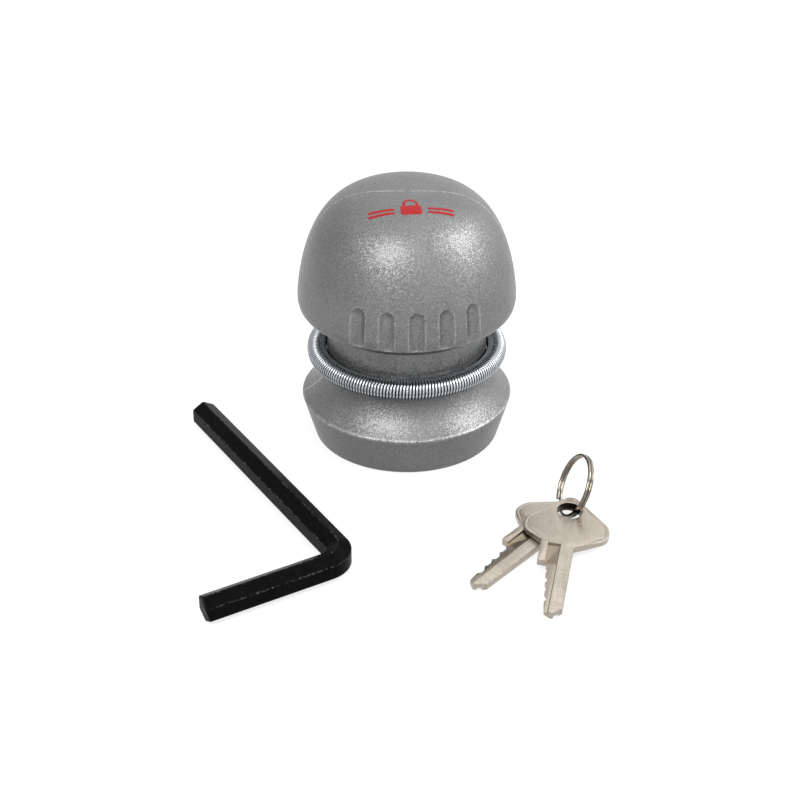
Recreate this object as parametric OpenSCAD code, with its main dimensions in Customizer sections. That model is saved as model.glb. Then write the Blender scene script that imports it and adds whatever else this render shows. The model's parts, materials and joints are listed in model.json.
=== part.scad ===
// Ball-type trailer coupler lock. The ball cap and the base fill the coupler's ball
// socket, a screw pulls the cap down, and the garter spring is forced outwards under
// the socket's lip. A lock plug then closes the screw's hole. The lock stands on its
// base at the origin, with its hexagon key and two lock keys lying beside it.

/* [Ball cap] */
// Largest diameter of the ball cap, for a 50 mm coupler socket
ball_d = 50; // [49.5:0.1:50.5]
// Height of the widest level of the ball cap
ball_z = 34.9; // [34.7:0.1:35.1]
// Height of the dome above its widest level
dome_h = 26; // [25.8:0.1:27]
// Height of the cap's lower edge
cap_edge_z = 32.8; // [32.6:0.1:33]
// Turn of the cap about the upright axis
cap_yaw = 5; // [0:1:15]
// Number of grip flutes on each side
flute_count = 5; // [3:1:7]
// Angle from one flute to the next
flute_step = 15.5; // [14:0.5:18]
// Radius of the cutter that leaves a flute
flute_r = 2.1; // [1.8:0.1:2.4]
// Depth of a flute at the widest level
flute_depth = 1; // [0.6:0.1:1.1]

/* [Base] */
// Diameter of the foot
foot_d = 43.2; // [42:0.1:44]
// Diameter of the base's sharp rim
rim_d = 49; // [48.6:0.1:49.4]
// Height of the rim
rim_z = 10.1; // [9.5:0.1:10.5]
// Diameter of the neck that the cap slides on
neck_d = 36.7; // [36.5:0.1:36.9]
// Height of the top of the neck
neck_top = 44; // [43.6:0.1:44.2]
// Radius of the hollow curve from the rim to the neck
ramp_r = 16; // [15:0.5:16]

/* [Garter spring] */
// Diameter of the circle that the coiled tube runs on
garter_d = 41.75; // [41.7:0.05:41.9]
// Diameter of the coiled tube
garter_tube_d = 4.56; // [4.3:0.02:4.6]
// Height of the garter spring's middle
garter_z = 21.5; // [21.5:0.1:22]

/* [Clamping screw] */
// Travel of the cap when the screw is turned
clamp_travel = 6; // [4:0.5:6]
// Diameter of the screw
screw_d = 10; // [9.8:0.1:10]
// Width across flats of the screw's hexagon socket
socket_af = 5.6; // [5.5:0.05:5.8]
// Depth of the hexagon socket
socket_depth = 5; // [4.5:0.1:5]

/* [Lock plug] */
// Diameter of the lock plug
plug_d = 21.86; // [21.82:0.01:21.9]
// Diameter of the turning barrel
barrel_d = 13; // [12.8:0.1:13.1]
// Travel of the locking bolt
bolt_throw = 2; // [1.6:0.1:2]
// Number of tumbler wafers
wafer_count = 5; // [4:1:5]

/* [Hexagon key] */
// Width across flats of the hexagon key
hex_af = 5.4; // [5.2:0.05:5.5]
// Length of the long arm from the corner of the two axes
long_arm = 69.6; // [60:0.2:80]
// Length of the short arm from the corner of the two axes
short_arm = 32.8; // [26:0.2:36]
// Bend radius of the axis
hex_bend_r = 4.8; // [4:0.1:8]

/* [Lock keys] */
// Thickness of a key
key_t = 1.6; // [1.4:0.1:1.6]
// Half the width of a key's bow
bow_w = 9.2; // [8.6:0.1:9.6]
// Diameter of the hole in the bow
bow_hole_d = 5.4; // [5.3:0.05:5.6]
// Distance from the hole to the tip
key_reach = 33.6; // [33:0.1:35]
// Wire diameter of the split ring
ring_wire_d = 0.76; // [0.7:0.02:0.8]
// Diameter of the circle that the split ring's wire runs on
ring_d = 13.8; // [13.4:0.1:14.2]

/* [Hidden] */
$fn = 96;
cut = 1;                  // how far a cutter runs past a face
run_gap = 0.06;           // radial clearance of a running fit

// cap and neck
ball_r = ball_d / 2;
neck_r = neck_d / 2;
cap_bore_r = neck_r + run_gap;
cap_roof_z = neck_top + clamp_travel + 0.6;
cap_skirt_z = cap_edge_z - 3.4;
side_power = 2 / 3.83;    // fullness of the dome's side
crown_power = 2 / 1.68;   // fullness of the dome's crown
dome_steps = 26;
boss_r = 8.5;
boss_z = 44.5;
insert_r = 7;
insert_top = 54.9;
guide_r = 1.5;
guide_ring_r = 15.3;
guide_z = 39.2;
guide_top = 54.6;

// base
foot_r = foot_d / 2;
rim_r = rim_d / 2;
ramp_sweep = acos(1 - (rim_r - neck_r) / ramp_r);
ramp_z = rim_z + ramp_r * sin(ramp_sweep);
ramp_steps = 14;
plug_bore_r = 11;
plug_bore_top = 22.8;
bolt_groove_r = plug_bore_r + bolt_throw + 0.2;
bolt_groove_z = 19.1;
bolt_groove_h = 2.6;
head_bore_r = 8.6;
head_bore_top = 31.8;
clip_groove_r = 9.4;
clip_groove_z = 23.4;
clip_groove_h = 1.1;
pocket_r = 12.2;
pocket_z = 37;
index_slot_w = 2.1;
index_slot_r = 12.1;
index_slot_top = 13.6;

// screw
screw_r = screw_d / 2;
head_r = 7.9;
head_z = 24.7;
head_top = 30.7;
screw_top = 49;
washer_t = 1;

// spring that lifts the cap
lift_coil_r = 10.4;
lift_wire_r = 0.85;
lift_turns = 4.5;

// lock plug
plug_r = plug_d / 2;
barrel_r = barrel_d / 2;
plug_z = 0.5;
plug_top = 22.2;
barrel_z = 1.15;
barrel_top = 19.05;
bolt_z = 19.25;
bolt_t = 2.2;
bolt_w = 7.2;
cam_r = bolt_throw / sqrt(2);
cam_pin_r = 1.1;
seal_z = 6.6;
seal_wire_r = 0.85;
index_z = 12;
wafer_t = 0.9;
wafer_z = 4;
wafer_step = 2.6;
wafer_w = 5;

// keys and their places on the bench
hex_r = hex_af / sqrt(3);
hex_place = [-12.6, -59.7, hex_r];
hex_yaw = 120.9;
front_turn = [4.5, 3.2, -11];     // tilt to the tip, lean to the right and yaw
front_place = [35.2, -43.2, 2.74];
rear_turn = [0.8, 4.6, -40.6];
rear_place = [35.2, -41, 0.91];
ring_place = [36.75, -37.35, 6.84];
ring_lean = 66;
ring_turn = 189;
ring_wire_r = ring_wire_d / 2;
key_cuts = [0.5, 0.9, 0.4, 0.95];   // depths from the shoulder to the tip

// a superellipse quarter: the dome's outline from its widest level to its crown
function dome_point(a) =
  [ball_r * pow(cos(a), side_power), ball_z + dome_h * pow(sin(a), crown_power)];

// an arc that rounds the corner b between a and c with radius r
function unit(v) = v / norm(v);
function corner(a, b, c, r, n = 6) =
  let (u = unit(a - b), w = unit(c - b))
  let (half = acos(u * w) / 2, reach = r / sin(half), mid = b + unit(u + w) * reach)
  let (p = b + u * r / tan(half) - mid, q = b + w * r / tan(half) - mid)
  let (start = atan2(p.y, p.x), turn = atan2(q.y, q.x) - start)
  let (sweep = turn > 180 ? turn - 360 : turn < -180 ? turn + 360 : turn)
  [for (i = [0:n]) mid + r * [cos(start + sweep * i / n), sin(start + sweep * i / n)]];

// a closed outline from [x, y, radius] corners, with an arc at each corner
function rounded(points) = let (n = len(points))
  [for (i = [0:n - 1])
    let (a = points[(i + n - 1) % n], b = points[i], c = points[(i + 1) % n])
    each b.z == 0 ? [[b.x, b.y]] : corner([a.x, a.y], [b.x, b.y], [c.x, c.y], b.z)];

module tube(r_out, r_in, z0, z1) {
  translate([0, 0, z0]) difference() {
    cylinder(r = r_out, h = z1 - z0);
    translate([0, 0, -cut]) cylinder(r = r_in, h = z1 - z0 + 2 * cut);
  }
}

module torus(ring_r, wire_r) {
  rotate_extrude() translate([ring_r, 0]) circle(r = wire_r, $fn = 48);
}

// an open compression spring between two heights
module coil(coil_r, wire_r, z0, z1, turns, sides = 8, per_turn = 18) {
  rings = round(turns * per_turn);
  rise = (z1 - z0 - 2 * wire_r) / rings;
  points = [for (i = [0:rings], k = [0:sides - 1])
    let (a = 360 * i / per_turn, b = 360 * k / sides, r = coil_r + wire_r * cos(b))
    [r * cos(a), r * sin(a), z0 + wire_r + rise * i + wire_r * sin(b)]];
  sides_of = [for (i = [0:rings - 1], k = [0:sides - 1])
    let (m = (k + 1) % sides, j = i * sides)
    [j + k, j + m, j + sides + m, j + sides + k]];
  start = [for (k = [0:sides - 1]) sides - 1 - k];
  end = [for (k = [0:sides - 1]) rings * sides + k];
  polyhedron(points, [start, each sides_of, end]);
}

// a hexagon bar along +Z with a vertex towards +X and a conical chamfer at its far end
module hex_bar(length, chamfer = 0.35) {
  intersection() {
    cylinder(r = hex_r, h = length, $fn = 6);
    union() {
      cylinder(r = hex_r + 1, h = length - chamfer);
      translate([0, 0, length - chamfer])
        cylinder(r1 = hex_r, r2 = hex_r - chamfer, h = chamfer);
    }
  }
}

module base_outline() {
  ramp = [for (i = [ramp_steps:-1:0])
    let (a = ramp_sweep * i / ramp_steps)
    [neck_r + ramp_r * (1 - cos(a)), ramp_z - ramp_r * sin(a)]];
  polygon([
    [0, 0], [foot_r - 0.6, 0], [foot_r, 0.6],
    [rim_r - 0.12, rim_z - 0.4], each ramp,
    [neck_r, neck_top - 0.8], [neck_r - 0.8, neck_top], [0, neck_top],
  ]);
}

module lower_body() {
  color("#8d9092") difference() {
    rotate_extrude() base_outline();
    translate([0, 0, -cut]) cylinder(r = plug_bore_r, h = plug_bore_top + cut);
    translate([0, 0, bolt_groove_z]) cylinder(r = bolt_groove_r, h = bolt_groove_h);
    cylinder(r = head_bore_r, h = head_bore_top);
    translate([0, 0, clip_groove_z]) cylinder(r = clip_groove_r, h = clip_groove_h);
    cylinder(r = screw_r + run_gap, h = neck_top);
    translate([0, 0, pocket_z]) cylinder(r = pocket_r, h = neck_top);
    for (side = [0, 180])
      rotate([0, 0, side]) translate([guide_ring_r, 0, guide_z - clamp_travel - 1])
        cylinder(r = guide_r + run_gap / 2, h = neck_top, $fn = 48);
    translate([0, -index_slot_w / 2, -cut])
      cube([index_slot_r, index_slot_w, index_slot_top + cut]);
  }
}

module thrust_washer() {
  color("#b9bcc0") tube(head_bore_r - 0.2, screw_r + 0.3,
                        head_bore_top - washer_t, head_bore_top);
}

// an internal circlip: an open ring with an eye at each end
module retaining_ring() {
  z = clip_groove_z + 0.05;
  t = clip_groove_h - 0.1;
  eye_r = 1.3;
  eye_ring_r = 6.7;
  color("#3f4348") translate([0, 0, z]) difference() {
    union() {
      difference() {
        cylinder(r = clip_groove_r - 0.05, h = t);
        translate([0, 0, -cut]) cylinder(r = head_r - 0.9, h = t + 2 * cut);
        translate([0, 0, -cut]) linear_extrude(t + 2 * cut)
          polygon([[0, 0], [12, 4.2], [12, -4.2]]);
      }
      for (side = [-1, 1]) rotate([0, 0, side * 26]) translate([eye_ring_r, 0, 0])
        cylinder(r = eye_r, h = t, $fn = 32);
    }
    for (side = [-1, 1]) rotate([0, 0, side * 26]) translate([eye_ring_r, 0, -cut])
      cylinder(r = 0.6, h = t + 2 * cut, $fn = 24);
  }
}

module return_spring() {
  color("#a9adb1") coil(lift_coil_r, lift_wire_r, pocket_z + 0.03, cap_roof_z - 0.03, lift_turns);
}

module garter_spring() {
  color("#c3c7cb") translate([0, 0, garter_z]) torus(garter_d / 2, garter_tube_d / 2);
}

module cap_outline() {
  dome = [for (i = [0:dome_steps]) dome_point(90 * i / dome_steps)];
  polygon([
    [cap_bore_r, cap_skirt_z], [cap_bore_r + 0.8, cap_skirt_z],
    [ball_r - 1.3, cap_edge_z], [ball_r - 0.7, cap_edge_z],
    [ball_r - 0.36, cap_edge_z + 0.3], [ball_r - 0.12, cap_edge_z + 1],
    each dome,
    [0, insert_top + 1.1], [screw_r + 0.3, insert_top + 1.1], [screw_r + 0.3, insert_top],
    [insert_r, insert_top], [insert_r, boss_z], [boss_r, boss_z],
    [boss_r, cap_roof_z], [cap_bore_r, cap_roof_z],
  ]);
}

// a row of upright flutes, centred on the front
module flutes() {
  for (i = [0:flute_count - 1])
    rotate([0, 0, (i - (flute_count - 1) / 2) * flute_step])
      translate([0, -ball_r + flute_depth - flute_r, cap_skirt_z - cut])
        cylinder(r = flute_r, h = 20, $fn = 48);
}

module ball_cap() {
  color("#8d9092") rotate([0, 0, cap_yaw]) difference() {
    rotate_extrude() cap_outline();
    for (side = [0, 180]) rotate([0, 0, side]) flutes();
    for (side = [0, 180])
      rotate([0, 0, side - cap_yaw]) translate([guide_ring_r, 0, cap_roof_z - cut])
        cylinder(r = guide_r, h = guide_top - cap_roof_z + cut, $fn = 48);
  }
}

// a steel bush with two grooves that key it into the casting's boss
module thread_insert() {
  color("#6f7378") difference() {
    tube(insert_r, screw_r + run_gap, boss_z, insert_top);
    for (z = [boss_z + 3, boss_z + 6]) tube(insert_r + cut, insert_r - 0.4, z, z + 1);
  }
}

module guide_pins() {
  tip = 0.5;
  color("#aeb2b6") for (side = [0, 180]) rotate([0, 0, side])
    translate([guide_ring_r, 0, guide_z]) {
      cylinder(r1 = guide_r - tip, r2 = guide_r, h = tip, $fn = 48);
      translate([0, 0, tip]) cylinder(r = guide_r, h = guide_top - guide_z - tip, $fn = 48);
    }
}

module clamp_screw() {
  chamfer = 1;
  color("#4a4d52") difference() {
    union() {
      translate([0, 0, head_z]) cylinder(r = head_r, h = head_top - head_z);
      translate([0, 0, head_z]) cylinder(r = screw_r, h = screw_top - chamfer - head_z);
      translate([0, 0, screw_top - chamfer])
        cylinder(r1 = screw_r, r2 = screw_r - chamfer, h = chamfer);
    }
    translate([0, 0, head_z - cut])
      cylinder(r = socket_af / sqrt(3), h = socket_depth + cut, $fn = 6);
  }
}

module lock_housing() {
  seal_groove_h = 2;
  color("#b4b1a8") difference() {
    translate([0, 0, plug_z]) cylinder(r = plug_r, h = plug_top - plug_z);
    cylinder(r = barrel_r + run_gap, h = bolt_z);
    translate([0, 0, plug_z - cut]) cylinder(r = 9.6, h = 0.6 + cut);
    translate([-barrel_r, -bolt_w / 2 - 0.05, bolt_z - 0.05])
      cube([20, bolt_w + 0.1, bolt_t + 0.1]);
    for (side = [-1, 1]) translate([-wafer_w / 2, side * 4 - 4, wafer_z - 1])
      cube([wafer_w, 8, wafer_step * wafer_count + 1]);
    tube(plug_r + cut, plug_r - 1.75, seal_z - seal_groove_h / 2, seal_z + seal_groove_h / 2);
    translate([plug_r - 2.5, 0, index_z]) rotate([0, 90, 0]) cylinder(r = 0.95, h = 4, $fn = 32);
  }
}

// a pin across the plug that stops it turning in the base with the key
module index_pin() {
  color("#aeb2b6") translate([plug_r - 2.5, 0, index_z]) rotate([0, 90, 0])
    cylinder(r = 0.95, h = index_slot_r - 0.2 - plug_r + 2.5, $fn = 32);
}

module face_cap() {
  color("#c9cacb") tube(9.55, 4.6, plug_z, barrel_z - 0.1);
}

module plug_seal() {
  color("#26262a") translate([0, 0, seal_z]) torus(plug_r - seal_wire_r - 0.02, seal_wire_r);
}

module lock_barrel() {
  keyway_w = 2.1;
  keyway_h = 7.4;
  color("#c8b78a") difference() {
    union() {
      translate([0, 0, barrel_z]) cylinder(r = barrel_r, h = barrel_top - barrel_z);
      translate([-cam_r / sqrt(2), -cam_r / sqrt(2), barrel_top - 1])
        cylinder(r = cam_pin_r, h = 1 + bolt_z + bolt_t - 0.15 - barrel_top, $fn = 32);
    }
    translate([-keyway_w / 2, -keyway_h / 2, barrel_z - cut])
      cube([keyway_w, keyway_h, 16.5 + cut]);
    for (i = [0:wafer_count - 1]) translate([0, 0, wafer_z + i * wafer_step]) {
      translate([-wafer_w / 2 - 0.05, -barrel_r - cut, -0.05])
        cube([wafer_w + 0.1, 2 * barrel_r + 2 * cut, wafer_t + 0.1]);
      translate([0, -1.2, -0.05]) cube([4.3, 2.8, wafer_t + 0.1]);
      translate([3.4, -0.45, wafer_t / 2]) rotate([90, 0, 0]) cylinder(r = 0.62, h = 3.6, $fn = 24);
    }
  }
}

module tumbler_wafers() {
  window_w = 2.2;
  window_h = 6;
  color("#c2a25a") for (i = [0:wafer_count - 1])
    translate([0, 0, wafer_z + i * wafer_step]) difference() {
      union() {
        translate([-wafer_w / 2, -barrel_r + 0.55, 0]) cube([wafer_w, 2 * barrel_r - 1.1, wafer_t]);
        translate([0, -0.4, 0]) cube([4.1, 1.2, wafer_t]);
      }
      translate([-window_w / 2, -window_h / 2, -cut]) cube([window_w, window_h, wafer_t + 2 * cut]);
    }
}

// the small springs that push the wafers, drawn as their coils' tubes
module wafer_springs() {
  color("#aeb2b6") for (i = [0:wafer_count - 1])
    translate([3.4, -0.45, wafer_z + i * wafer_step + wafer_t / 2]) rotate([90, 0, 0])
      tube(0.55, 0.3, 0, 3.5);
}

module lock_bolt() {
  slot_w = 2 * cam_pin_r + 0.2;
  color("#9ea2a6") translate([0, 0, bolt_z]) difference() {
    intersection() {
      cylinder(r = plug_r - 0.1, h = bolt_t);
      translate([-5.6, -bolt_w / 2, 0]) cube([20, bolt_w, bolt_t]);
    }
    translate([-cam_r / sqrt(2) - slot_w / 2, -cam_r - cam_pin_r - 0.15, -cut])
      cube([slot_w, cam_r * 0.3 + 2 * cam_pin_r + 0.5, bolt_t + 2 * cut]);
  }
}

module hex_key() {
  color("#1c1c1d") translate(hex_place) rotate([0, 0, hex_yaw]) {
    translate([hex_bend_r, hex_bend_r, 0]) rotate([0, 0, 180]) rotate_extrude(angle = 90)
      translate([hex_bend_r, 0]) rotate([0, 0, 90]) circle(r = hex_r, $fn = 6);
    translate([hex_bend_r, 0, 0]) rotate([0, 90, 0]) hex_bar(long_arm - hex_bend_r);
    translate([0, hex_bend_r, 0]) rotate([-90, -90, 0]) hex_bar(short_arm - hex_bend_r);
  }
}

module key_ring() {
  color("#b9b3a4") translate(ring_place) rotate([0, ring_lean, ring_turn])
    rotate_extrude() for (side = [-1, 1])
      translate([ring_d / 2, side * ring_wire_r * 0.94]) circle(r = ring_wire_r, $fn = 32);
}

// one flat key, hole at the origin, blade along -Y, lying on z = 0
module key_blank(cuts) {
  blade_right = 2.3;
  blade_left = -2.8;
  tab_left = -4.8;
  shoulder = -17.6;
  first_cut = shoulder - 2.2;
  pitch = 2.9;
  cutter_r = 0.9;
  groove_top = -11.5;
  groove_left = -3.25;
  groove_right = -0.5;
  groove_depth = 0.55;
  rib_groove = [0.6, 1.5];
  outline = [
    [0, 5.9, 2], [bow_w, -3.7, 3], [bow_w, -7.8, 1.8], [blade_right, -12, 0.6],
    [blade_right, -key_reach + 2, 0.4], [0.2, -key_reach, 0.4], [-1.4, -key_reach + 1, 0.2],
    [blade_left, -key_reach + 3, 0.2], [blade_left, shoulder, 0],
    [tab_left, shoulder, 0.3], [tab_left, -10.8, 0.6], [-bow_w, -7.6, 1.8], [-bow_w, -3.7, 3],
  ];
  difference() {
    linear_extrude(key_t) polygon(rounded(outline));
    translate([0, 0, -cut]) cylinder(r = bow_hole_d / 2, h = key_t + 2 * cut, $fn = 48);
    translate([groove_left, -key_reach - cut, key_t - groove_depth])
      cube([groove_right - groove_left, key_reach + cut + groove_top, cut]);
    translate([rib_groove[0], -key_reach - cut, -cut])
      cube([rib_groove[1] - rib_groove[0], key_reach + cut + groove_top, cut + groove_depth]);
    for (i = [0:len(cuts) - 1])
      translate([blade_left - cutter_r, first_cut - i * pitch, -cut])
        cylinder(r = cutter_r + cuts[i], h = key_t + 2 * cut, $fn = 24);
  }
}

module key_front() {
  color("#c4bfb4") translate(front_place) rotate(front_turn) key_blank(key_cuts);
}

module key_rear() {
  color("#c4bfb4") translate(rear_place) rotate(rear_turn) key_blank(key_cuts);
}

lower_body();
thrust_washer();
retaining_ring();
return_spring();
garter_spring();
ball_cap();
thread_insert();
guide_pins();
clamp_screw();
lock_housing();
index_pin();
face_cap();
plug_seal();
lock_barrel();
tumbler_wafers();
wafer_springs();
lock_bolt();
hex_key();
key_ring();
key_front();
key_rear();
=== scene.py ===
import json
import math

import bmesh
import bpy
import numpy as np
from mathutils import Matrix, Vector


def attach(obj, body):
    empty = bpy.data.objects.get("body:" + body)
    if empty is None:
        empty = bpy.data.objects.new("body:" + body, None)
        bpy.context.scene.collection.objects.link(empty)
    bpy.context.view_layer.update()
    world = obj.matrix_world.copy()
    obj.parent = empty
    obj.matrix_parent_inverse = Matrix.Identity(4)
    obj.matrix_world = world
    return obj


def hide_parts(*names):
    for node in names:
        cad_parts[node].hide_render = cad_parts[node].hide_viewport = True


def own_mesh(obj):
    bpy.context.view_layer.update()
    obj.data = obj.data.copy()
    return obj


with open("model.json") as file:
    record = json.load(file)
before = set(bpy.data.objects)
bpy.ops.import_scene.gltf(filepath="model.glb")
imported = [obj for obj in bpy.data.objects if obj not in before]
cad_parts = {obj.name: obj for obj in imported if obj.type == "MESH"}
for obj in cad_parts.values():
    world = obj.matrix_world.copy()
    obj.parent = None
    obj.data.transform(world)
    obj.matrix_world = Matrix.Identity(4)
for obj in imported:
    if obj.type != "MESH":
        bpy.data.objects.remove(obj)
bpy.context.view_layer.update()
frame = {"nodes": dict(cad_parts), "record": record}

# Lengths are in millimetres here, and closed_mesh() turns them into metres. Angles are in degrees.
MM = 0.001

# ball cap, with the casting seam a little in front of its axis
BALL_R = 25.0
BALL_Z = 34.9
DOME_H = 26.0
SIDE_POWER = 2 / 3.83
CROWN_POWER = 2 / 1.68
CAP_EDGE_Z = 32.8
SKIRT_Z = 29.4
CAP_BORE_R = 18.41
CAP_ROOF_Z = 50.6
BOSS_R, BOSS_Z = 8.5, 44.5
INSERT_R, INSERT_TOP = 7.0, 54.9
CAP_YAW = 5.0
SEAM_OFF = 1.0
SEAM_H, SEAM_HALF = 0.04, 0.13
FLUTE_COUNT = 5
FLUTE_STEP = 15.5
FLUTE_HALF = 1.85
FLUTE_DEPTH = 0.95
FLUTE_TOP = 42.5
GUIDE_R = 1.5
GUIDE_RING_R = 15.3
GUIDE_TOP = 54.6

# print on the cap: how far below the crown its middle is, and how thick the ink is
MARK_DOWN = 9.3
INK_OUT, INK_IN = 0.025, 0.05

# base
FOOT_R = 21.6
RIM_R = 24.5
RIM_Z = 10.1
NECK_R = 18.35
NECK_TOP = 44.0
RAMP_R = 16.0
SEAT_R, SEAT_TOP = 18.57, 23.0
PLUG_BORE_R, PLUG_BORE_TOP = 11.0, 22.8
BOLT_GROOVE_R, BOLT_GROOVE_LOW, BOLT_GROOVE_TOP = 13.2, 19.1, 21.7
HEAD_BORE_R, HEAD_BORE_TOP = 8.6, 31.8
RING_GROOVE_R, RING_GROOVE_LOW, RING_GROOVE_TOP = 9.4, 23.4, 24.5
SHANK_BORE_R = 5.06
SPRING_BORE_R, SPRING_BORE_Z = 12.2, 37.0
GUIDE_PLAY, GUIDE_HOLE_Z = 0.03, 32.2
INDEX_SLOT, INDEX_SLOT_TOP = (9.0, 12.1, 1.05), 13.6
SCRATCH_FROM, SCRATCH_TO = (-24.35, -1.3), (-19.2, -4.4)

# garter spring
GARTER_R = 41.75 / 2
GARTER_TUBE_R = 4.56 / 2
GARTER_Z = 21.5
GARTER_TURNS = 196
GARTER_WIRE_R = 0.31

# return spring
LIFT_R = 10.4
LIFT_WIRE_R = 0.85
LIFT_LOW, LIFT_HIGH = 37.03, 50.57
LIFT_TURNS = 5.5

# hexagon key
HEX_R = 5.4 / math.sqrt(3)
HEX_PLACE = (-12.6, -59.7, HEX_R)
HEX_YAW = 120.9
LONG_ARM = 69.6
SHORT_ARM = 32.8
HEX_BEND_R = 4.8

# lock keys and split ring
KEY_T = 1.6
KEY_REACH = 33.6
BOW_W = 9.2
BOW_HOLE_R = 2.7
KEY_LEFT, KEY_RIGHT, KEY_TAB = -2.8, 2.3, -4.8
KEY_CUTS, KEY_PITCH = (0.35, 0.55, 0.3, 0.5), 2.9
KEY_NARROW = 1.0
KEY_SHOULDER = -17.6
GROOVE_LEFT, GROOVE_RIGHT, GROOVE_TOP, GROOVE_DEPTH = -3.25, -0.5, -11.5, 0.55
RIB_LEFT, RIB_RIGHT = 0.6, 1.5
FRONT_PLACE, FRONT_TURN = (35.2, -43.2, 2.74), (4.5, 3.2, -11)
REAR_PLACE, REAR_TURN = (35.2, -41.0, 0.91), (0.8, 4.6, -40.6)
RING_PLACE, RING_TURN = (36.75, -37.35, 6.84), (0, 66, 189)
RING_R = 6.9
RING_WIRE_R = 0.38


# ---------------------------------------------------------------- mesh tools

def grid_faces(rows, cols, wrap_rows=False, wrap_cols=True):
    """Quads of a grid of points that is stored row by row."""
    i = np.arange(rows if wrap_rows else rows - 1)[:, None]
    j = np.arange(cols if wrap_cols else cols - 1)[None, :]
    right, below = (j + 1) % cols, (i + 1) % rows
    quads = [i * cols + j, i * cols + right, below * cols + right, below * cols + j]
    return np.stack(quads, axis=-1).reshape(-1, 4).tolist()


def put(name, data):
    """An object with that data in the scene."""
    thing = bpy.data.objects.new(name, data)
    bpy.context.scene.collection.objects.link(thing)
    return thing


def closed_mesh(name, points, faces, marks=None, place=None):
    """A mesh from points in millimetres, with its normals outwards. marks are values on its points."""
    mesh = bpy.data.meshes.new(name)
    mesh.from_pydata((np.asarray(points, float) * MM).tolist(), [], faces)
    for key, values in (marks or {}).items():
        mesh.attributes.new(key, "FLOAT", "POINT").data.foreach_set("value", np.ravel(values))
    if place is not None:
        mesh.transform(place)
    work = bmesh.new()
    work.from_mesh(mesh)
    bmesh.ops.recalc_face_normals(work, faces=work.faces)
    work.to_mesh(mesh)
    work.free()
    return mesh


def mesh_piece(name, points, faces, body, material, replaces=(), marks=None, place=None):
    """A smooth closed mesh that rides on a body."""
    mesh = closed_mesh(name, points, faces, marks, place)
    mesh.polygons.foreach_set("use_smooth", [True] * len(mesh.polygons))
    mesh.materials.append(material)
    piece = put(name, mesh)
    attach(piece, body)
    if replaces:
        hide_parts(*replaces)
    return piece


def applied(piece):
    """Turns the piece's modifiers into its mesh."""
    graph = bpy.context.evaluated_depsgraph_get()
    mesh = bpy.data.meshes.new_from_object(piece.evaluated_get(graph))
    piece.modifiers.clear()
    piece.data = mesh
    return piece


def cut_with(piece, cutters):
    """Takes the cutters' shapes out of the piece and deletes them."""
    for cutter in cutters:
        change = piece.modifiers.new("cut", "BOOLEAN")
        change.operation = "DIFFERENCE"
        change.solver = "EXACT"
        change.object = cutter
    applied(piece)
    for cutter in cutters:
        bpy.data.objects.remove(cutter)
    return piece


def cutter(outline, z0, z1):
    """An outline raised from z0 to z1, for cut_with()."""
    n = len(outline)
    points = [(x, y, z) for z in (z0, z1) for x, y in outline]
    sides = [[k, (k + 1) % n, n + (k + 1) % n, n + k] for k in range(n)]
    ends = [list(range(n))[::-1], list(range(n, 2 * n))]
    return put("cutter", closed_mesh("cutter", points, ends + sides))


def circle(radius, count, centre=(0, 0)):
    turn = np.linspace(0, 2 * np.pi, count, endpoint=False)
    return np.column_stack([centre[0] + radius * np.cos(turn), centre[1] + radius * np.sin(turn)])


def rounded(corners, closed=True, steps=5):
    """An outline through [x, y, radius] corners, with an arc at each corner that has a radius."""
    out, n = [], len(corners)
    for k, (x, y, radius) in enumerate(corners):
        here = np.array([x, y], float)
        if radius == 0 or (not closed and k in (0, n - 1)):
            out.append(here)
            continue
        before = np.array(corners[k - 1][:2], float) - here
        after = np.array(corners[(k + 1) % n][:2], float) - here
        before /= np.linalg.norm(before)
        after /= np.linalg.norm(after)
        half = math.acos(np.clip(before @ after, -1, 1)) / 2
        middle = here + (before + after) / np.linalg.norm(before + after) * radius / math.sin(half)
        first = here + before * radius / math.tan(half) - middle
        last = here + after * radius / math.tan(half) - middle
        start = math.atan2(first[1], first[0])
        sweep = (math.atan2(last[1], last[0]) - start + math.pi) % (2 * math.pi) - math.pi
        for s in np.linspace(0, 1, steps + 1):
            angle = start + sweep * s
            out.append(middle + radius * np.array([math.cos(angle), math.sin(angle)]))
    return np.array(out)


def densified(points, longest, closed=False):
    """The same line with points added so that no stretch is longer than longest."""
    points = np.asarray(points, float)
    if closed:
        points = np.vstack([points, points[:1]])
    out = []
    for a, b in zip(points[:-1], points[1:]):
        count = max(1, math.ceil(np.linalg.norm(b - a) / longest))
        out += [a + (b - a) * k / count for k in range(count)]
    return np.array(out if closed else out + [points[-1]])


def line_normals(points, closed=False):
    """Unit normals of a line in the plane, to its right."""
    if closed:
        run = np.roll(points, -1, 0) - np.roll(points, 1, 0)
    else:
        run = np.gradient(points, axis=0)
    run /= np.maximum(np.linalg.norm(run, axis=1, keepdims=True), 1e-9)
    return np.column_stack([run[:, 1], -run[:, 0]])


def soft_min(a, b, width):
    """The smaller of a and b, with the crease between them rounded."""
    mix = np.clip(0.5 + 0.5 * (b - a) / width, 0, 1)
    return b * (1 - mix) + a * mix - width * mix * (1 - mix)


def turned(radius, height, angles):
    """Points of a lathe whose radius and height are given for each profile point and angle."""
    x, y = radius * np.cos(angles), radius * np.sin(angles)
    z = np.broadcast_to(height, radius.shape)
    return np.stack([x, y, z], axis=-1).reshape(-1, 3)


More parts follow.
